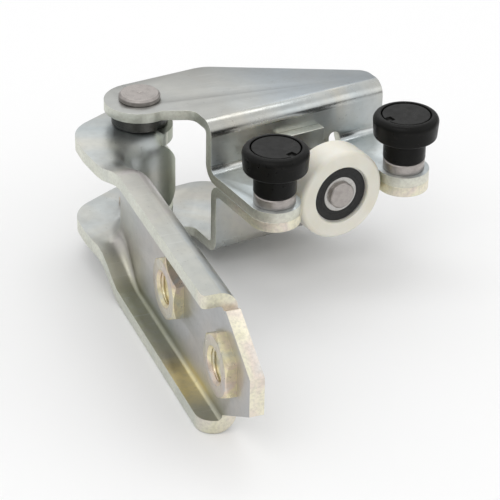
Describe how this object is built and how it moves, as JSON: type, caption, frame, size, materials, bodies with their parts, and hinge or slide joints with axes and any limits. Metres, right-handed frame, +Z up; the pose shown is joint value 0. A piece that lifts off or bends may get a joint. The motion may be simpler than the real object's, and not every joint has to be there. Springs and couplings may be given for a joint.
{
  "type": "sliding door roller",
  "caption": "Sliding door roller: a pressed steel arm hinged on a vertical pin to a roller carriage with two upright guide rollers and one ball-bearing load roller.",
  "frame": {"origin": "on the arm's flat door face, midway between the two threaded holes", "axes": "+X out of the door face, +Y along the arm towards the hinge, +Z up along the hinge pin"},
  "size_m": [0.1122, 0.1568, 0.0549],
  "materials": {
    "zinc_plate": "zinc plated, faint yellow and blue passivation",
    "zinc_yellow": "zinc plated, yellowish passivation",
    "pin_steel": "turned, satin",
    "bearing_steel": "ground",
    "dark_ring": "dark",
    "bronze": "sintered",
    "black_plastic": "satin black",
    "bush_plastic": "natural",
    "nylon": "off-white, slightly translucent",
    "seal_rubber": "matt black"
  },
  "bodies": {
    "arm": {"arm_bracket": "zinc_plate", "thread_insert_front": "zinc_yellow", "thread_insert_rear": "zinc_yellow", "hinge_bush_upper": "bronze", "hinge_bush_lower": "bronze"},
    "carriage": {"top_bracket": "zinc_plate", "lower_bracket": "zinc_plate", "hinge_pin": "pin_steel", "hinge_clip": "zinc_yellow", "hinge_collar": "dark_ring", "hinge_shim": "bronze", "load_axle": "pin_steel", "axle_spacer": "pin_steel", "bearing_inner": "bearing_steel", "guide_pin_left": "pin_steel", "guide_ring_left": "pin_steel", "guide_pin_right": "pin_steel", "guide_ring_right": "pin_steel"},
    "load_roller": {"load_tyre": "nylon", "bearing_outer": "bearing_steel", "bearing_balls": "bearing_steel", "bearing_cage": "bush_plastic", "seal_front": "seal_rubber", "seal_rear": "seal_rubber"},
    "guide_roller_left": {"guide_bush_left": "bush_plastic", "guide_shell_left": "black_plastic", "guide_cap_left": "black_plastic"},
    "guide_roller_right": {"guide_bush_right": "bush_plastic", "guide_shell_right": "black_plastic", "guide_cap_right": "black_plastic"}
  },
  "joints": [
    {"name": "carriage_hinge", "type": "hinge", "parent": "arm", "child": "carriage", "pos_m": [0.0097, 0.0982, 0], "axis": [0, 0, 1], "range_deg": [-25, 80]},
    {"name": "load_roller_spin", "type": "hinge", "parent": "carriage", "child": "load_roller", "pos_m": [0.06207, 0.05485, 0.00576], "axis": [-0.1642, 0.9864, 0], "continuous": true},
    {"name": "guide_left_spin", "type": "hinge", "parent": "carriage", "child": "guide_roller_left", "pos_m": [0.0382, 0.0478, 0.02], "axis": [0, 0, 1], "continuous": true},
    {"name": "guide_right_spin", "type": "hinge", "parent": "carriage", "child": "guide_roller_right", "pos_m": [0.08693, 0.05591, 0.02], "axis": [0, 0, 1], "continuous": true}
  ]
}
